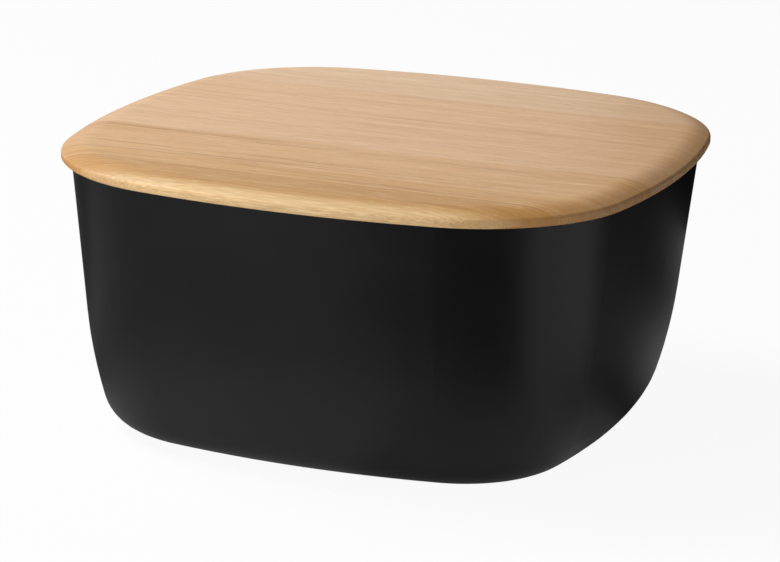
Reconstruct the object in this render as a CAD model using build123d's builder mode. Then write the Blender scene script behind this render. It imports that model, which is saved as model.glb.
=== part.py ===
from build123d import *

import os
from collections import namedtuple
from math import atan2, cos, degrees, radians, sin, sqrt, tan

# Bread box: a moulded tub on four pads, and a lift-off lid of edge-glued bamboo strips.
# Millimetres, +Z up. The origin lies on the table under the middle of the tub, and the strips run along X.

# Plan, a square with bowed sides and round corners
LID_SIZE = 345.0
SIDE_BOW_RADIUS = 490.0
CORNER_RADIUS = 98.0

# Tub, seen in section from the rim down: drafted straight, belly, base round, floor
TUB_HEIGHT = 155.0
WALL = 3.5
WALL_DRAFT_DEGREES = 5.9
BELLY_RADIUS = 285.0
BELLY_END_DEGREES = 16.4
BASE_ROUND_RADIUS = 24.0
RIM_ROUND = 0.8

# Lid, with a plug below that drops inside the rim
LID_OVERHANG = 5.8
LID_HEIGHT = 9.3
EDGE_ROLL_WIDTH = 16.5
EDGE_ROLL_DEGREES = 28.0
EDGE_NOSE_RADIUS = 2.5
EDGE_CHAMFER = 1.2
PLUG_DEPTH = 8.0
PLUG_GAP = 1.2
PLUG_CHAMFER = 1.0
STRIP_COUNT = 17

# Seal, a ring in a groove round the plug
SEAL_HEIGHT = 3.0
SEAL_GROOVE_DEPTH = 2.0
SEAL_ROUND = 1.2
SEAL_CLEARANCE = 0.3

# Pads, let into the underside of the floor
PAD_DIAMETER = 18.0
PAD_PROUD = 1.2
PAD_RECESS = 0.8
PAD_ROUND = 0.5
PAD_CLEARANCE = 0.15
PAD_EDGE_DISTANCE = 42.0

# How far cutters run past what they cut
OVERRUN = 5.0

# Heights
floor_z = PAD_PROUD
rim_z = floor_z + TUB_HEIGHT
top_z = rim_z + LID_HEIGHT
seal_z = rim_z - (PLUG_DEPTH + SEAL_HEIGHT) / 2

# Wall section: where each run of the wall ends, in from the lid's edge and up from the table
draft = radians(WALL_DRAFT_DEGREES)
belly_end = radians(BELLY_END_DEGREES)
belly_end_z = floor_z + BASE_ROUND_RADIUS * (1 - sin(belly_end))
straight_end_z = belly_end_z + BELLY_RADIUS * (sin(belly_end) - sin(draft))
straight_end_inset = LID_OVERHANG + (rim_z - straight_end_z) * tan(draft)
belly_end_inset = straight_end_inset + BELLY_RADIUS * (cos(draft) - cos(belly_end))
floor_inset = belly_end_inset + BASE_ROUND_RADIUS * cos(belly_end)

# How far in from the lid's edge the plug, the groove's floor and the seal's nose lie
rim_inner_inset = LID_OVERHANG + WALL / cos(draft)
plug_inset = rim_inner_inset + PLUG_DEPTH * tan(draft) + PLUG_GAP
groove_inset = plug_inset + SEAL_GROOVE_DEPTH
seal_inset = rim_inner_inset + (rim_z - seal_z) * tan(draft) + SEAL_CLEARANCE

# Radius of the roll that takes the lid's top down to the nose of its edge, tangent to both
roll_end = radians(EDGE_ROLL_DEGREES)
roll_radius = (EDGE_ROLL_WIDTH - EDGE_NOSE_RADIUS * (1 - sin(roll_end))) / sin(roll_end)

strip_width = LID_SIZE / STRIP_COUNT
board_height = PLUG_DEPTH + LID_HEIGHT
pad_spacing = LID_SIZE - 2 * (floor_inset + PAD_EDGE_DISTANCE)

# Plan arcs in turn, sides and corners tangent to each other, with angles in degrees
PlanArc = namedtuple("PlanArc", "centre radius start turn")
bow_centre = SIDE_BOW_RADIUS - LID_SIZE / 2
corner_reach = SIDE_BOW_RADIUS - CORNER_RADIUS
corner_place = (sqrt(2 * corner_reach**2 - bow_centre**2) - bow_centre) / 2
side_half_turn = degrees(atan2(corner_place, corner_place + bow_centre))
plan_arcs = []
for quarter_turn in (0, 90, 180, 270):
    side_centre = Vector(-bow_centre, 0).rotate(Axis.Z, quarter_turn)
    side_start = quarter_turn - side_half_turn
    plan_arcs.append(PlanArc(side_centre, SIDE_BOW_RADIUS, side_start, 2 * side_half_turn))
    corner_centre = Vector(corner_place, corner_place).rotate(Axis.Z, quarter_turn)
    corner_start = quarter_turn + side_half_turn
    plan_arcs.append(PlanArc(corner_centre, CORNER_RADIUS, corner_start, 90 - 2 * side_half_turn))


def draw_plan(inset):
    """Draw the lid's outline moved in by inset."""
    for arc in plan_arcs:
        CenterArc(arc.centre, arc.radius - inset, arc.start, arc.turn)


def plane_across(arc):
    """Upright plane where a plan arc starts, with X pointing in from the lid's edge and Y up."""
    out = Vector(1, 0, 0).rotate(Axis.Z, arc.start)
    return Plane(arc.centre + out * arc.radius, x_dir=-out, z_dir=out.rotate(Axis.Z, 90))


def draw_wall(thickness):
    """Draw the tub's wall from rim to floor, moved in by thickness, and give its two ends."""
    straight_end = (
        straight_end_inset + thickness * cos(draft),
        straight_end_z + thickness * sin(draft),
    )
    straight = Line((LID_OVERHANG + thickness / cos(draft), rim_z), straight_end)
    belly_turn = BELLY_END_DEGREES - WALL_DRAFT_DEGREES
    belly = JernArc(straight @ 1, straight % 1, BELLY_RADIUS - thickness, belly_turn)
    base_turn = 90 - BELLY_END_DEGREES
    base_round = JernArc(belly @ 1, belly % 1, BASE_ROUND_RADIUS - thickness, base_turn)
    return straight @ 0, base_round @ 1


def write(piece, name):
    """Label a finished piece and write it to its own file."""
    piece.label = name
    export_step(piece, f"parts/{name}.step")


os.makedirs("parts", exist_ok=True)

# Tub: the wall's section turned about each plan arc, then the floor, then the pads' recesses
with BuildSketch() as wall_section:
    with BuildLine():
        outer_rim, outer_foot = draw_wall(0)
        inner_rim, inner_foot = draw_wall(WALL)
        Line(outer_rim, inner_rim)
        Line(outer_foot, inner_foot)
    make_face()
    fillet(wall_section.vertices().group_by(Axis.Y)[-1], RIM_ROUND)

with BuildPart() as tub_shell:
    for arc in plan_arcs:
        with BuildSketch(plane_across(arc)):
            add(wall_section.sketch)
        revolve(axis=Axis(arc.centre, (0, 0, 1)), revolution_arc=arc.turn)
    with BuildSketch(Plane.XY.offset(floor_z)):
        with BuildLine():
            draw_plan(floor_inset)
        make_face()
    extrude(amount=WALL)
    with BuildSketch(Plane.XY.offset(floor_z)):
        with GridLocations(pad_spacing, pad_spacing, 2, 2):
            Circle(PAD_DIAMETER / 2 + PAD_CLEARANCE)
    extrude(amount=PAD_RECESS, mode=Mode.SUBTRACT)
write(tub_shell.part, "tub_shell")

# Non-slip pads, one near each corner of the floor
pad_corners = ("front_left", "back_left", "front_right", "back_right")
for corner, place in zip(pad_corners, GridLocations(pad_spacing, pad_spacing, 2, 2)):
    with BuildPart() as pad:
        with BuildSketch():
            with Locations(place):
                Circle(PAD_DIAMETER / 2)
        extrude(amount=PAD_PROUD + PAD_RECESS)
        fillet(pad.edges().group_by(Axis.Z)[0], PAD_ROUND)
    write(pad.part, f"pad_{corner}")

# Lid board in one piece: rolled edge, middle, plug below, and the seal's groove round the plug
with BuildSketch() as edge_section:
    with BuildLine():
        roll = JernArc((EDGE_ROLL_WIDTH, top_z), (-1, 0), roll_radius, EDGE_ROLL_DEGREES)
        nose = JernArc(roll @ 1, roll % 1, EDGE_NOSE_RADIUS, 90 - EDGE_ROLL_DEGREES)
        Polyline(nose @ 1, (0, rim_z), (EDGE_ROLL_WIDTH, rim_z), roll @ 0)
    make_face()
    chamfer(edge_section.vertices().group_by(Axis.Y)[0].sort_by(Axis.X)[0], EDGE_CHAMFER)

with BuildPart() as board:
    for arc in plan_arcs:
        with BuildSketch(plane_across(arc)):
            add(edge_section.sketch)
        revolve(axis=Axis(arc.centre, (0, 0, 1)), revolution_arc=arc.turn)
    with BuildSketch(Plane.XY.offset(rim_z)):
        with BuildLine():
            draw_plan(EDGE_ROLL_WIDTH)
        make_face()
    extrude(amount=LID_HEIGHT)
    with BuildSketch(Plane.XY.offset(rim_z)):
        with BuildLine():
            draw_plan(plug_inset)
        make_face()
    extrude(amount=-PLUG_DEPTH)
    chamfer(board.edges().group_by(Axis.Z)[0], PLUG_CHAMFER)
    with BuildSketch(Plane.XY.offset(seal_z)):
        with BuildLine():
            draw_plan(-OVERRUN)
        make_face()
        with BuildLine():
            draw_plan(groove_inset)
        make_face(mode=Mode.SUBTRACT)
    extrude(amount=SEAL_HEIGHT, mode=Mode.SUBTRACT)

# Strips of the board, numbered from front to back
front_strip_y = (strip_width - LID_SIZE) / 2
for number in range(STRIP_COUNT):
    with BuildPart() as strip:
        add(board.part)
        with Locations((0, front_strip_y + number * strip_width, rim_z)):
            Box(LID_SIZE + OVERRUN, strip_width, 2 * board_height, mode=Mode.INTERSECT)
    write(strip.part, f"lid_strip_{number + 1:02d}")

# Seal, filling the groove and reaching almost to the tub's wall
with BuildSketch() as seal_section:
    with Locations((seal_inset, seal_z)):
        Rectangle(groove_inset - seal_inset, SEAL_HEIGHT, align=(Align.MIN, Align.MIN))
    fillet(seal_section.vertices().group_by(Axis.X)[0], SEAL_ROUND)

with BuildPart() as lid_seal:
    for arc in plan_arcs:
        with BuildSketch(plane_across(arc)):
            add(seal_section.sketch)
        revolve(axis=Axis(arc.centre, (0, 0, 1)), revolution_arc=arc.turn)
write(lid_seal.part, "lid_seal")
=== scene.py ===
"""A bread box in a white studio: a satin black moulded tub under a bamboo lid of edge-glued strips.

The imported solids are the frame, in metres, with +Z up and the strips along X. Every one of them keeps its
shape and place here and gets the finish of what it is made of.
"""

import logging
import math
from collections.abc import Sequence
from dataclasses import dataclass, replace
from enum import Enum
from typing import Any, NamedTuple, Union

import bpy
from mathutils import Matrix, Vector


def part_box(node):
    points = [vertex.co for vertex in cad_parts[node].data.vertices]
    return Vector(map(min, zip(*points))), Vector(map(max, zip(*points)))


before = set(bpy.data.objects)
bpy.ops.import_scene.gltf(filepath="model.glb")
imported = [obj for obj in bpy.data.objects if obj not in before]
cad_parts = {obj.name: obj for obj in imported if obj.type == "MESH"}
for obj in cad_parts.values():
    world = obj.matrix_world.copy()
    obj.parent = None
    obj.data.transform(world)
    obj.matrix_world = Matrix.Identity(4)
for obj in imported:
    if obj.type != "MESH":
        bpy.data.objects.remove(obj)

MM = 0.001
FULL_TURN = 360.0
QUARTER_TURN = 90.0
# Share of a turn at which a radial gradient passes the front
FRONT_SHARE = 0.5
PHOTO_WIDTH = 780

# The sRGB curve: straight up to a limit, then a power
BYTE_MAX = 255
SRGB_LIMIT = 0.04045
SRGB_SLOPE = 12.92
SRGB_OFFSET = 0.055
SRGB_POWER = 2.4

# Places of the sockets of a colour Mix node
MIX_FACTOR, MIX_A, MIX_B, MIX_RESULT = 0, 6, 7, 2
# Setting of a Map Range node that eases in and out
EASED = {"interpolation_type": "SMOOTHSTEP"}

# Corners of a square sheet, in half sides from its middle
SQUARE = ((-1, -1), (1, -1), (1, 1), (-1, 1))

log = logging.getLogger("bread_box")

Socket = bpy.types.NodeSocket
Tree = bpy.types.NodeTree
Size3 = tuple[float, float, float]
Colour = tuple[float, float, float, float]
# Azimuths in degrees, from the front towards the right, and the hex grey at each
Shades = tuple[tuple[float, str], ...]


def linear(hex_colour: str) -> Colour:
    """Turn an sRGB hex colour into linear RGBA.

    Args:
        hex_colour: Six hex digits after a hash mark.

    Returns:
        Linear red, green and blue, with an alpha of 1.
    """
    channels = []
    for byte in bytes.fromhex(hex_colour.lstrip("#")):
        share = byte / BYTE_MAX
        if share <= SRGB_LIMIT:
            channels.append(share / SRGB_SLOPE)
        else:
            channels.append(((share + SRGB_OFFSET) / (1 + SRGB_OFFSET)) ** SRGB_POWER)
    red, green, blue = channels
    return (red, green, blue, 1.0)


def towards(azimuth: float, elevation: float) -> Vector:
    """Find the direction from the box to something that stands round it.

    Args:
        azimuth: Degrees from the front towards the right.
        elevation: Degrees above the floor.

    Returns:
        The direction, with a length of 1.
    """
    turn = math.radians(azimuth)
    rise = math.radians(elevation)
    return Vector((math.sin(turn) * math.cos(rise), -math.cos(turn) * math.cos(rise), math.sin(rise)))


def add_node(tree: Tree, kind: str, inputs: dict[Union[str, int], Any], **settings: Any) -> bpy.types.Node:
    """Add a node to a tree, with its settings, values and links.

    Args:
        tree: Node tree that gets the node.
        kind: Blender's name for the type of node.
        inputs: For each input, by name or place, a value or the socket that feeds it.
        **settings: Properties of the node itself.

    Returns:
        The new node.
    """
    node = tree.nodes.new(kind)
    for name, value in settings.items():
        setattr(node, name, value)
    for key, value in inputs.items():
        if isinstance(value, Socket):
            tree.links.new(value, node.inputs[key])
        else:
            node.inputs[key].default_value = value
    return node


def new_material(name: str) -> tuple[bpy.types.Material, Tree]:
    """Make an empty node material.

    Args:
        name: Name of the material.

    Returns:
        The material and its node tree.
    """
    material = bpy.data.materials.new(name)
    material.use_nodes = True
    material.node_tree.nodes.clear()
    return material, material.node_tree


@dataclass(frozen=True)
class Grain:
    """A noise whose blots have a real size, in millimetres along X, Y and Z."""

    x_mm: float
    y_mm: float
    z_mm: float
    octaves: float = 2.0

    def draw(self, tree: Tree, place: Socket) -> Socket:
        """Draw the noise.

        Args:
            tree: Node tree that gets the noise.
            place: Place on the surface, in metres.

        Returns:
            Noise from 0 to 1, around 0.5.
        """
        per_metre = Vector(1 / (size * MM) for size in (self.x_mm, self.y_mm, self.z_mm))
        scaled = add_node(tree, "ShaderNodeVectorMath", {0: place, 1: per_metre}, operation="MULTIPLY")
        noise = {"Vector": scaled.outputs[0], "Scale": 1.0, "Detail": self.octaves}
        return add_node(tree, "ShaderNodeTexNoise", noise).outputs[0]


@dataclass(frozen=True)
class Fade:
    """A smooth change: a value of low gives start and one of high gives end, held beyond both."""

    low: float
    high: float
    start: float = 0.0
    end: float = 1.0

    def inputs(self, value: Socket) -> dict[str, Any]:
        """Give the inputs of a Map Range node that fades with a value.

        Args:
            value: Value that the fade follows.

        Returns:
            The inputs by name.
        """
        limits = {"From Min": self.low, "From Max": self.high, "To Min": self.start, "To Max": self.end}
        return {"Value": value, **limits}


def lay_colours(tree: Tree, base: Colour, layers: Sequence[tuple[Any, ...]]) -> Socket:
    """Lay colours over each other, each where its patterns let it show.

    Args:
        tree: Node tree that gets the layers.
        base: Colour under them all.
        layers: For each layer its colour, then pairs of a value and a fade. Their product is its share.

    Returns:
        The colour that shows.
    """
    colour: Any = base
    for layer, *patterns in layers:
        share: Any = 1.0
        for value, fade in patterns:
            shown = add_node(tree, "ShaderNodeMapRange", fade.inputs(value), **EASED).outputs[0]
            share = add_node(tree, "ShaderNodeMath", {0: share, 1: shown}, operation="MULTIPLY").outputs[0]
        mix = {MIX_FACTOR: share, MIX_A: colour, MIX_B: layer}
        colour = add_node(tree, "ShaderNodeMix", mix, data_type="RGBA").outputs[MIX_RESULT]
    return colour


def close_surface(tree: Tree, surface: dict[str, Any], height: Socket, relief_mm: float) -> None:
    """Give a material its relief, its shader and its output.

    Args:
        tree: Node tree of the material.
        surface: Inputs of the shader, apart from its normal.
        height: Height of the relief, from 0 to 1.
        relief_mm: Depth of the relief in millimetres.
    """
    relief = {"Strength": 1.0, "Distance": relief_mm * MM, "Height": height}
    normal = add_node(tree, "ShaderNodeBump", relief).outputs[0]
    shader = add_node(tree, "ShaderNodeBsdfPrincipled", {**surface, "Normal": normal})
    add_node(tree, "ShaderNodeOutputMaterial", {"Surface": shader.outputs[0]})


class Tone(Enum):
    """Tone of a bamboo strip, as the hex colours of its pale and its dark grain."""

    AMBER = ("#c69554", "#bd8a4b")
    HONEY = ("#d2a36a", "#c99860")
    OAT = ("#d8ac7a", "#d0a270")
    WHEAT = ("#dfb78d", "#d8ad82")
    LINEN = ("#e4c09c", "#dcb690")


class Figure(Enum):
    """What shows in a bamboo strip: the strengths of its dark streaks and of its glue seams."""

    PLAIN = (0.22, 0.15)
    STREAKED = (0.7, 0.25)
    SEAMED = (0.35, 1.0)


@dataclass(frozen=True)
class PressedBamboo:
    """Bamboo strips, glued edge to edge, planed, sanded along the grain and oiled."""

    # Sanding gives the eye straight fibres, with short dark and bright dashes where vessels lie open. Along
    # the rolled sides it cuts the fibres, which shows pale, and that pale is strong enough to also paint a
    # highlight along the rolled sides. At the ends it bares darker end grain, dark enough to also paint
    # shade on the rolled ends. The oil gives a soft sheen
    clouds: Grain = Grain(160.0, 45.0, 45.0)
    bands: Grain = Grain(240.0, 14.0, 60.0)
    streaks: Grain = Grain(90.0, 2.4, 24.0)
    # Fibres are about 0.3 mm wide and are drawn coarser, so that they show
    fibres: Grain = Grain(22.0, 1.3, 6.0)
    # Vessels are about 0.2 mm wide and are drawn coarser, so that they show
    vessels: Grain = Grain(7.0, 0.7, 2.0, octaves=1.0)
    # Cut fibre ends are about 0.3 mm wide and are drawn coarser, so that they show
    flecks: Grain = Grain(16.0, 0.6, 0.5)
    seams: Grain = Grain(150.0, 400.0, 400.0)
    wander: Grain = Grain(220.0, 90.0, 90.0, octaves=1.0)
    wander_reach_mm: float = 1.5
    # How far apart in the grain two neighbouring strips are cut, in metres
    strip_step: Size3 = (1.37, 0.61, 0.83)

    # How much of each layer shows, by the noise or the slope that it follows
    band_fade: Fade = Fade(0.3, 0.7)
    cloud_fade: Fade = Fade(0.45, 0.75, end=0.4)
    streak_fade: Fade = Fade(0.47, 0.7)
    fibre_fade: Fade = Fade(0.5, 0.8, end=0.3)
    pale_fibre_fade: Fade = Fade(0.2, 0.45, start=0.3, end=0.0)
    pore_fade: Fade = Fade(0.6, 0.78, end=0.35)
    pale_vessel_fade: Fade = Fade(0.22, 0.4, start=0.3, end=0.0)
    seam_fade: Fade = Fade(0.25, 0.5)
    fleck_fade: Fade = Fade(0.3, 0.7, start=0.3, end=0.75)
    side_fleck_and_highlight_fade: Fade = Fade(0.1, 0.36)
    end_grain_and_shade_fade: Fade = Fade(0.06, 0.42, end=0.36)
    wander_fade: Fade = Fade(0.2, 0.8, start=-1.0, end=1.0)

    streak_colour: str = "#ad7c44"
    fibre_colour: str = "#bd905f"
    bright_colour: str = "#f1d9b4"
    vessel_colour: str = "#93683f"
    glue_colour: str = "#8f6438"
    pale_fleck_and_highlight_colour: str = "#f1d3a1"
    end_grain_and_shade_colour: str = "#a4723f"
    glue_width_mm: float = 0.6
    relief_mm: float = 0.015
    roughness: Fade = Fade(0.3, 0.7, start=0.44, end=0.54)
    specular_level: float = 0.35

    def along_grain(self, tree: Tree, place: Socket) -> Socket:
        """Let the grain wander a little from a straight line.

        Args:
            tree: Node tree that gets the nodes.
            place: Place in the bamboo, in metres.

        Returns:
            The place, moved sideways as the grain wanders.
        """
        noise = self.wander_fade.inputs(self.wander.draw(tree, place))
        sideways = add_node(tree, "ShaderNodeMapRange", noise, **EASED).outputs[0]
        sway = add_node(tree, "ShaderNodeCombineXYZ", {"Y": sideways}).outputs[0]
        moved = {0: sway, 1: Vector((0.0, self.wander_reach_mm * MM, 0.0)), 2: place}
        return add_node(tree, "ShaderNodeVectorMath", moved, operation="MULTIPLY_ADD").outputs[0]

    def slopes(self, tree: Tree, normal: Socket) -> tuple[Socket, Socket]:
        """Find how far the surface turns across the grain and towards its ends.

        Args:
            tree: Node tree that gets the nodes.
            normal: Normal of the surface.

        Returns:
            How much more it turns to the sides than to the ends, and how much it turns to the ends.
        """
        axes = add_node(tree, "ShaderNodeSeparateXYZ", {"Vector": normal}).outputs
        sideways = add_node(tree, "ShaderNodeMath", {0: axes["Y"]}, operation="ABSOLUTE").outputs[0]
        endways = add_node(tree, "ShaderNodeMath", {0: axes["X"]}, operation="ABSOLUTE").outputs[0]
        slant = add_node(tree, "ShaderNodeMath", {0: sideways, 1: endways}, operation="SUBTRACT").outputs[0]
        return slant, endways

    def material(self, node: str, tone: Tone, figure: Figure, number: int) -> bpy.types.Material:
        """Make the finish of one strip.

        Args:
            node: Name of the strip.
            tone: Tone of its grain.
            figure: What shows in its grain.
            number: Place of the strip in the board, which sets its grain apart from its neighbours'.

        Returns:
            The material.
        """
        material, tree = new_material(f"bamboo_sanded_oiled_{node}")
        pale, dark = (linear(colour) for colour in tone.value)
        streak_share, seam_share = figure.value
        coords = add_node(tree, "ShaderNodeTexCoord", {}).outputs
        shift = {0: coords["Object"], 1: Vector(number * step for step in self.strip_step)}
        place = add_node(tree, "ShaderNodeVectorMath", shift, operation="ADD").outputs[0]
        along = self.along_grain(tree, place)
        fibres = self.fibres.draw(tree, along)
        vessels = self.vessels.draw(tree, along)
        slant, endways = self.slopes(tree, coords["Normal"])

        # Glue shows in places along the front side of the strip
        across = add_node(tree, "ShaderNodeSeparateXYZ", {"Vector": coords["Object"]}).outputs["Y"]
        low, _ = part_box(node)
        glue_fade = Fade(low.y, low.y + self.glue_width_mm * MM, start=1.0, end=0.0)
        seams = (self.seams.draw(tree, place), replace(self.seam_fade, end=seam_share))
        streaks = (self.streaks.draw(tree, along), replace(self.streak_fade, end=streak_share))
        flecks = (self.flecks.draw(tree, along), self.fleck_fade)

        layers = (
            (dark, (self.bands.draw(tree, along), self.band_fade)),
            (dark, (self.clouds.draw(tree, place), self.cloud_fade)),
            (linear(self.streak_colour), streaks),
            (linear(self.fibre_colour), (fibres, self.fibre_fade)),
            (linear(self.bright_colour), (fibres, self.pale_fibre_fade)),
            (linear(self.vessel_colour), (vessels, self.pore_fade)),
            (linear(self.bright_colour), (vessels, self.pale_vessel_fade)),
            (linear(self.glue_colour), seams, (across, glue_fade)),
            # Pale cut-fibre flecks on the rolled sides, made strong enough to also be a painted highlight
            # there
            (linear(self.pale_fleck_and_highlight_colour), flecks, (slant, self.side_fleck_and_highlight_fade)),
            # Darker end grain at the strip ends, made dark enough to also be painted shade on the rolled
            # ends
            (linear(self.end_grain_and_shade_colour), (endways, self.end_grain_and_shade_fade)),
        )
        gloss = self.roughness.inputs(fibres)
        surface = {
            "Base Color": lay_colours(tree, pale, layers),
            "Roughness": add_node(tree, "ShaderNodeMapRange", gloss, **EASED).outputs[0],
            "Specular IOR Level": self.specular_level,
        }
        pores = add_node(tree, "ShaderNodeMapRange", self.pore_fade.inputs(vessels), **EASED).outputs[0]
        height = add_node(tree, "ShaderNodeMath", {0: fibres, 1: pores}, operation="SUBTRACT").outputs[0]
        close_surface(tree, surface, height, self.relief_mm)
        return material


@dataclass(frozen=True)
class Moulded:
    """A moulded surface: wide clouds of colour and gloss, and the fine marks of the mould."""

    name: str
    colour: str
    cloud_colour: str
    clouds: Grain
    marks: Grain
    relief_mm: float
    roughness: Fade
    ior: float

    def material(self) -> bpy.types.Material:
        """Make the finish.

        Returns:
            The material.
        """
        material, tree = new_material(self.name)
        place = add_node(tree, "ShaderNodeTexCoord", {}).outputs["Object"]
        clouds = self.clouds.draw(tree, place)
        mix = {MIX_FACTOR: clouds, MIX_A: linear(self.colour), MIX_B: linear(self.cloud_colour)}
        gloss = self.roughness.inputs(clouds)
        surface = {
            "Base Color": add_node(tree, "ShaderNodeMix", mix, data_type="RGBA").outputs[MIX_RESULT],
            "Roughness": add_node(tree, "ShaderNodeMapRange", gloss, **EASED).outputs[0],
            "IOR": self.ior,
        }
        close_surface(tree, surface, self.marks.draw(tree, place), self.relief_mm)
        return material


@dataclass(frozen=True)
class MouldedMelamine(Moulded):
    """Black melamine, pressed in a satin-etched mould."""

    # The etch breaks reflections into wide soft bands for the eye, with faint clouds where the press flowed
    name: str = "melamine_moulded_satin"
    colour: str = "#0a0a0b"
    cloud_colour: str = "#0f0f10"
    clouds: Grain = Grain(60.0, 60.0, 35.0)
    # The etch is about 0.1 mm wide and is drawn coarser, so that it shows
    marks: Grain = Grain(0.9, 0.9, 0.9)
    relief_mm: float = 0.006
    roughness: Fade = Fade(0.3, 0.7, start=0.29, end=0.31)
    ior: float = 1.5


@dataclass(frozen=True)
class MouldedSilicone(Moulded):
    """Silicone rubber, moulded in a fine-ground mould."""

    # The ground mould leaves it dull to the eye, with a powdery bloom that evens out its colour
    clouds: Grain = Grain(12.0, 12.0, 4.0)
    # The grind marks are about 0.1 mm wide and are drawn coarser, so that they show
    marks: Grain = Grain(0.6, 0.6, 0.6)
    relief_mm: float = 0.01
    roughness: Fade = Fade(0.3, 0.7, start=0.55, end=0.7)
    ior: float = 1.41


def dress(node: str, material: bpy.types.Material) -> None:
    """Give a carried-over solid its finish.

    Args:
        node: Name of the solid.
        material: Finish for all its faces.
    """
    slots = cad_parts[node].data.materials
    slots.clear()
    slots.append(material)
    log.info("%s: %s", node, material.name)


@dataclass(frozen=True)
class Tub:
    """The moulded tub and the pads it stands on."""

    shell: str = "tub_shell"
    pad_prefix: str = "pad_"
    shell_finish: MouldedMelamine = MouldedMelamine()
    pad_finish: MouldedSilicone = MouldedSilicone("silicone_moulded_dark", "#1c1c1d", "#262627")

    def build(self) -> None:
        """Dress the shell and its pads."""
        dress(self.shell, self.shell_finish.material())
        rubber = self.pad_finish.material()
        for node in sorted(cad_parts):
            if node.startswith(self.pad_prefix):
                dress(node, rubber)


class StripRun(NamedTuple):
    """Neighbouring strips of one tone and figure."""

    count: int
    tone: Tone
    figure: Figure


@dataclass(frozen=True)
class Lid:
    """The bamboo board, strip by strip from front to back, and its seal."""

    seal: str = "lid_seal"
    strip_prefix: str = "lid_strip_"
    # From front to back the strips go from amber to linen: partly the board's own tones, partly painted
    # sheen, which makes the back strips paler
    strip_runs: tuple[StripRun, ...] = (
        StripRun(2, Tone.AMBER, Figure.STREAKED),
        StripRun(1, Tone.HONEY, Figure.STREAKED),
        StripRun(1, Tone.OAT, Figure.STREAKED),
        StripRun(1, Tone.OAT, Figure.PLAIN),
        StripRun(1, Tone.OAT, Figure.STREAKED),
        StripRun(4, Tone.WHEAT, Figure.PLAIN),
        StripRun(1, Tone.WHEAT, Figure.SEAMED),
        StripRun(2, Tone.WHEAT, Figure.PLAIN),
        StripRun(4, Tone.LINEN, Figure.PLAIN),
    )
    board_finish: PressedBamboo = PressedBamboo()
    seal_finish: MouldedSilicone = MouldedSilicone("silicone_moulded_milky", "#d9d7d0", "#e4e2dc")

    def build(self) -> None:
        """Dress each strip with grain of its own, then the seal."""
        strips = [run for run in self.strip_runs for _ in range(run.count)]
        for number, strip in enumerate(strips, start=1):
            node = f"{self.strip_prefix}{number:02d}"
            dress(node, self.board_finish.material(node, strip.tone, strip.figure, number))
        dress(self.seal, self.seal_finish.material())


@dataclass(frozen=True)
class Softbox:
    """A soft studio lamp, aimed at the box. Angles are in degrees and lengths in metres."""

    name: str
    azimuth: float
    elevation: float
    distance: float
    width: float
    height: float
    watts: float

    def build(self, aim: Vector) -> None:
        """Hang the lamp.

        Args:
            aim: Point that the lamp faces.
        """
        back = towards(self.azimuth, self.elevation)
        lamp = bpy.data.lights.new(self.name, "AREA")
        lamp.shape = "RECTANGLE"
        lamp.size = self.width
        lamp.size_y = self.height
        lamp.energy = self.watts
        hung = bpy.data.objects.new(self.name, lamp)
        turned = back.to_track_quat("Z", "Y").to_matrix().to_4x4()
        hung.matrix_world = Matrix.Translation(aim + back * self.distance) @ turned
        hung.visible_camera = False
        bpy.context.scene.collection.objects.link(hung)
        log.info("lamp %s: %.1f W", self.name, self.watts)


@dataclass(frozen=True)
class Camera:
    """The camera, where the photograph was taken from. Angles are in degrees and lengths in metres."""

    azimuth: float = 20.501
    elevation: float = 15.397
    roll: float = 1.548
    distance: float = 1.9038
    aim: Size3 = (0.0, 0.0, 0.07875)
    lens_mm: float = 151.08
    sensor_mm: float = 36.0
    shift_x_pixels: float = 1.03
    shift_y_pixels: float = -5.12

    def build(self) -> None:
        """Set the camera up and make it the scene's own."""
        back = towards(self.azimuth, self.elevation)
        right = towards(self.azimuth + QUARTER_TURN, 0.0)
        up = back.cross(right)
        tilt = math.radians(self.roll)
        across = right * math.cos(tilt) + up * math.sin(tilt)
        upward = up * math.cos(tilt) - right * math.sin(tilt)
        lens = bpy.data.cameras.new("camera")
        lens.lens = self.lens_mm
        lens.sensor_width = self.sensor_mm
        lens.shift_x = self.shift_x_pixels / PHOTO_WIDTH
        lens.shift_y = self.shift_y_pixels / PHOTO_WIDTH
        camera = bpy.data.objects.new("camera", lens)
        turned = Matrix((across, upward, back)).transposed().to_4x4()
        camera.matrix_world = Matrix.Translation(Vector(self.aim) + back * self.distance) @ turned
        bpy.context.scene.collection.objects.link(camera)
        bpy.context.scene.camera = camera
        log.info("camera: %.0f mm lens at %.2f m", self.lens_mm, self.distance)


def hang_sheet(name: str, corners: Sequence[Size3], material: bpy.types.Material) -> bpy.types.Object:
    """Hang a flat sheet in the studio.

    Args:
        name: Name of the sheet.
        corners: Its corners in turn, in metres.
        material: Its finish.

    Returns:
        The sheet's object.
    """
    mesh = bpy.data.meshes.new(name)
    mesh.from_pydata(corners, [], [range(len(corners))])
    mesh.materials.append(material)
    sheet = bpy.data.objects.new(name, mesh)
    bpy.context.scene.collection.objects.link(sheet)
    log.info("studio %s: %s", name, material.name)
    return sheet


def show_in_reflections_only(sheet: bpy.types.Object) -> None:
    """Hide a sheet from the camera, and keep it from lighting or shading anything but by reflection.

    Args:
        sheet: The sheet's object.
    """
    sheet.visible_camera = False
    sheet.visible_diffuse = False
    sheet.visible_shadow = False


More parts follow.
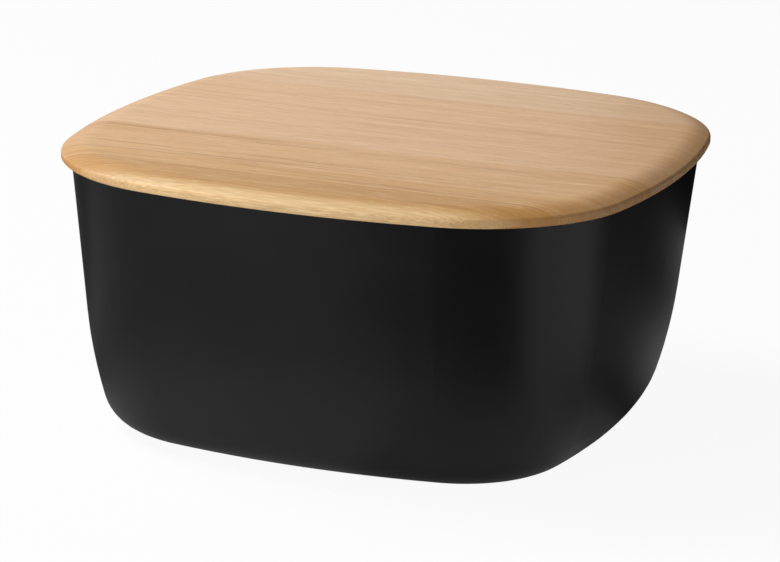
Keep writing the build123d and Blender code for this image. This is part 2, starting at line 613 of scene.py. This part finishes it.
@dataclass(frozen=True)
class PaintedReflectionTable:
    """The table top as the tub's walls mirror it, which only reflections see.

    Its greys are painted reflections, dark in much of it, so that a black wall isn't washed out by a white
    floor. They are a glow of its own, so no lamp changes them. It is pale close to the front of the box.
    Further out it is grey to the left, dark to the front right, bright in a strip to the right and grey
    behind.
    Round the box's foot the glow is dimmed as a painted shadow. Lengths are in metres.
    """

    reach: float = 3.0
    height: float = 0.001
    # Distances from the middle of the box between which the near shades turn into the far ones
    spread: Fade = Fade(0.19, 0.38)
    # Painted shadow round the box's squarish foot: how much of the glow shows, from there outwards
    shade: Fade = Fade(0.125, 0.16, start=0.35)
    near_painted_reflections: Shades = (
        (-180.0, "#7c7c7c"),
        (-75.0, "#555555"),
        (-38.0, "#b3b3b3"),
        (8.0, "#aaaaaa"),
        (20.0, "#909090"),
        (62.0, "#999999"),
        (84.0, "#686868"),
        (104.0, "#363636"),
        (138.0, "#7c7c7c"),
        (180.0, "#7c7c7c"),
    )
    far_painted_reflections: Shades = (
        (-180.0, "#949494"),
        (-98.0, "#404040"),
        (-78.0, "#8b8b8b"),
        (-11.0, "#747474"),
        (14.0, "#1c1c1c"),
        (50.0, "#191919"),
        (64.0, "#aaaaaa"),
        (92.0, "#acacac"),
        (117.0, "#404040"),
        (138.0, "#303030"),
        (180.0, "#949494"),
    )

    def grey_round(self, tree: Tree, turn: Socket, shades: Shades) -> Socket:
        """Grey the painted reflections by azimuth.

        Args:
            tree: Node tree that gets the shades.
            turn: Azimuth as a share of a turn.
            shades: Azimuths and their greys.

        Returns:
            The grey at each azimuth.
        """
        node = add_node(tree, "ShaderNodeValToRGB", {"Fac": turn})
        node.color_ramp.interpolation = "EASE"
        while len(node.color_ramp.elements) < len(shades):
            node.color_ramp.elements.new(1.0)
        for element, (azimuth, grey) in zip(node.color_ramp.elements, shades):
            element.position = azimuth / FULL_TURN + FRONT_SHARE
            element.color = linear(grey)
        return node.outputs[0]

    def painted_reflection_glow(self) -> bpy.types.Material:
        """Make the glow that paints the tub's reflections.

        Returns:
            The material.
        """
        # A glow of soft greys that paints the tub's reflections, with no edge between them
        material, tree = new_material("glow_painted_reflections")
        place = add_node(tree, "ShaderNodeTexCoord", {}).outputs["Object"]
        radial = add_node(tree, "ShaderNodeTexGradient", {"Vector": place}, gradient_type="RADIAL")
        turn = radial.outputs["Fac"]
        away = add_node(tree, "ShaderNodeVectorMath", {0: place}, operation="LENGTH").outputs["Value"]
        mix = {
            MIX_FACTOR: add_node(tree, "ShaderNodeMapRange", self.spread.inputs(away), **EASED).outputs[0],
            MIX_A: self.grey_round(tree, turn, self.near_painted_reflections),
            MIX_B: self.grey_round(tree, turn, self.far_painted_reflections),
        }
        grey = add_node(tree, "ShaderNodeMix", mix, data_type="RGBA").outputs[MIX_RESULT]

        # Fourth root of the sum of fourth powers, which goes round the box in squares with round corners
        squares = add_node(tree, "ShaderNodeVectorMath", {0: place, 1: place}, operation="MULTIPLY")
        length = add_node(tree, "ShaderNodeVectorMath", {0: squares.outputs[0]}, operation="LENGTH")
        out = add_node(tree, "ShaderNodeMath", {0: length.outputs["Value"]}, operation="SQRT").outputs[0]
        # Painted shadow: near the box's foot the glow dims, standing in for its contact shadow in the
        # reflections
        lit = add_node(tree, "ShaderNodeMapRange", self.shade.inputs(out), **EASED).outputs[0]
        glow = add_node(tree, "ShaderNodeEmission", {"Color": grey, "Strength": lit})
        add_node(tree, "ShaderNodeOutputMaterial", {"Surface": glow.outputs[0]})
        return material

    def build(self) -> None:
        """Lay the table top just above the floor, with its own X axis pointing to the front."""
        corners = [(x * self.reach, y * self.reach, 0.0) for x, y in SQUARE]
        sheet = hang_sheet("table", corners, self.painted_reflection_glow())
        sheet.location.z = self.height
        sheet.rotation_euler.z = -math.radians(QUARTER_TURN)
        show_in_reflections_only(sheet)


@dataclass(frozen=True)
class Flag:
    """An upright black cloth behind the box on the right, which only reflections see.

    Lengths are in metres.
    """

    left: float = 0.0
    right: float = 0.8
    distance: float = 0.45
    height: float = 1.0
    colour: str = "#0c0c0c"

    def build(self) -> None:
        """Hang the cloth."""
        # Brushed cotton, black and without gloss to the eye
        material, tree = new_material("cotton_brushed_black")
        matte = add_node(tree, "ShaderNodeBsdfDiffuse", {"Color": linear(self.colour)})
        add_node(tree, "ShaderNodeOutputMaterial", {"Surface": matte.outputs[0]})
        foot = [(self.left, self.distance, 0.0), (self.right, self.distance, 0.0)]
        head = [(self.right, self.distance, self.height), (self.left, self.distance, self.height)]
        show_in_reflections_only(hang_sheet("flag", foot + head, material))


@dataclass(frozen=True)
class Studio:
    """White paper floor, white surroundings, flags and soft lamps. Lengths are in metres."""

    floor_reach: float = 6.0
    floor_gap: float = 0.0003
    floor_colour: str = "#ececec"
    ambient_colour: str = "#ffffff"
    ambient_strength: float = 0.02
    # Share of the floor that is white to the eye whatever the light. The rest shows the object's shadow
    glow_share: float = 0.93
    aim: Size3 = (0.0, 0.0, 0.08)
    table: PaintedReflectionTable = PaintedReflectionTable()
    flag: Flag = Flag()
    key: Softbox = Softbox(
        "key_left_high", azimuth=-85.0, elevation=54.0, distance=2.8, width=1.2, height=1.2, watts=75.0
    )
    low_front: Softbox = Softbox(
        "low_front_left", azimuth=-20.0, elevation=10.0, distance=1.5, width=0.5, height=0.5, watts=9.4
    )
    low_left: Softbox = Softbox(
        "low_left", azimuth=-95.0, elevation=9.0, distance=1.5, width=0.4, height=0.5, watts=0.4
    )
    low_right: Softbox = Softbox(
        "low_right", azimuth=65.0, elevation=9.0, distance=1.5, width=0.4, height=0.5, watts=1.6
    )

    def eye_rays(self, tree: Tree) -> Socket:
        """Find the rays that see the background: straight, mirrored or through glass.

        Args:
            tree: Node tree that gets the nodes.

        Returns:
            1 for those rays and 0 for the rest.
        """
        rays = add_node(tree, "ShaderNodeLightPath", {}).outputs
        mirrored = {0: rays["Is Camera Ray"], 1: rays["Is Glossy Ray"]}
        straight = add_node(tree, "ShaderNodeMath", mirrored, operation="MAXIMUM").outputs[0]
        through = {0: straight, 1: rays["Is Transmission Ray"]}
        return add_node(tree, "ShaderNodeMath", through, operation="MAXIMUM").outputs[0]

    def paper(self) -> bpy.types.Material:
        """Make the floor's paper.

        Returns:
            The material.
        """
        # Uncoated paper, matte and white to the eye apart from the object's shadow
        material, tree = new_material("paper_matte_white")
        matte = add_node(tree, "ShaderNodeBsdfDiffuse", {"Color": linear(self.floor_colour)})
        glow = add_node(tree, "ShaderNodeEmission", {"Strength": 1.0})
        share = {0: self.eye_rays(tree), 1: self.glow_share}
        factor = add_node(tree, "ShaderNodeMath", share, operation="MULTIPLY").outputs[0]
        mixed = add_node(tree, "ShaderNodeMixShader", {0: factor, 1: matte.outputs[0], 2: glow.outputs[0]})
        add_node(tree, "ShaderNodeOutputMaterial", {"Surface": mixed.outputs[0]})
        return material

    def build_surroundings(self) -> None:
        """Light the surroundings evenly, and show them white to the eye."""
        world = bpy.data.worlds.new("surroundings")
        world.use_nodes = True
        tree = world.node_tree
        tree.nodes.clear()
        white = linear(self.ambient_colour)
        fill = add_node(tree, "ShaderNodeBackground", {"Color": white, "Strength": self.ambient_strength})
        seen = add_node(tree, "ShaderNodeBackground", {"Color": white, "Strength": 1.0})
        surfaces = {0: self.eye_rays(tree), 1: fill.outputs[0], 2: seen.outputs[0]}
        mixed = add_node(tree, "ShaderNodeMixShader", surfaces)
        add_node(tree, "ShaderNodeOutputWorld", {"Surface": mixed.outputs[0]})
        bpy.context.scene.world = world

    def build(self) -> None:
        """Set up the floor, the table, the flag, the surroundings and the lamps."""
        bpy.context.scene.view_settings.view_transform = "Standard"
        corners = [(x * self.floor_reach, y * self.floor_reach, -self.floor_gap) for x, y in SQUARE]
        hang_sheet("floor", corners, self.paper())
        self.table.build()
        self.flag.build()
        self.build_surroundings()
        for lamp in (self.key, self.low_front, self.low_left, self.low_right):
            lamp.build(Vector(self.aim))


def main() -> None:
    """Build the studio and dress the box."""
    logging.basicConfig(level=logging.INFO)
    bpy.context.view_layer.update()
    Camera().build()
    Studio().build()
    Tub().build()
    Lid().build()


if __name__ == "__main__":
    main()
